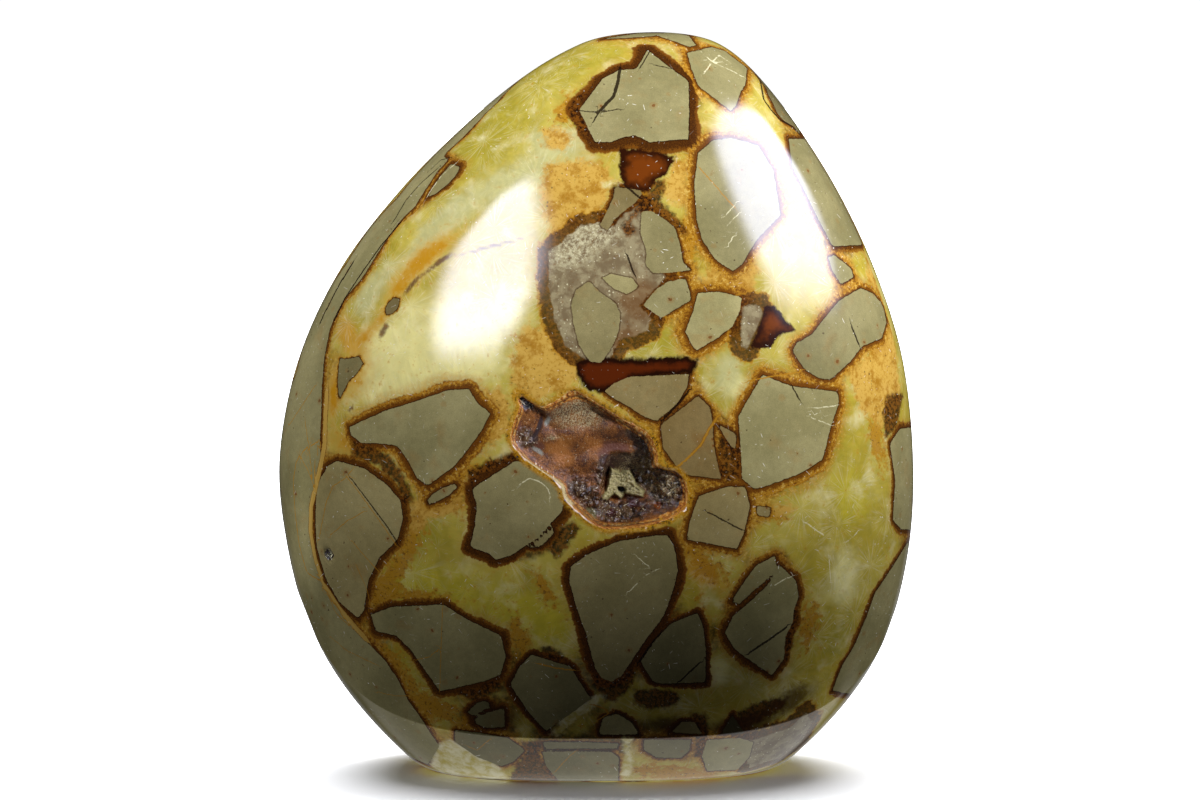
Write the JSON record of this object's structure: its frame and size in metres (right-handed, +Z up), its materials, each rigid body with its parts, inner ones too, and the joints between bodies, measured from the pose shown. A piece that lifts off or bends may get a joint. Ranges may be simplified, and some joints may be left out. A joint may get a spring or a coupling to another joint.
{
  "type": "polished septarian nodule",
  "caption": "Egg-shaped polished septarian nodule that stands on a flat cut base, with a bevel above the cut and a crystal-lined hollow in its front face.",
  "frame": {"origin": "centre of the footprint, on the flat cut base", "axes": "+Z up through the crown, +X to the right seen from the front, -Y out of the front face with the hollow"},
  "size_m": [0.1295, 0.0724, 0.15],
  "materials": {
    "polished_stone": "polished",
    "druse": "matte"
  },
  "bodies": {
    "root": {"nodule": "polished_stone", "vug_crust": "druse"}
  },
  "joints": []
}
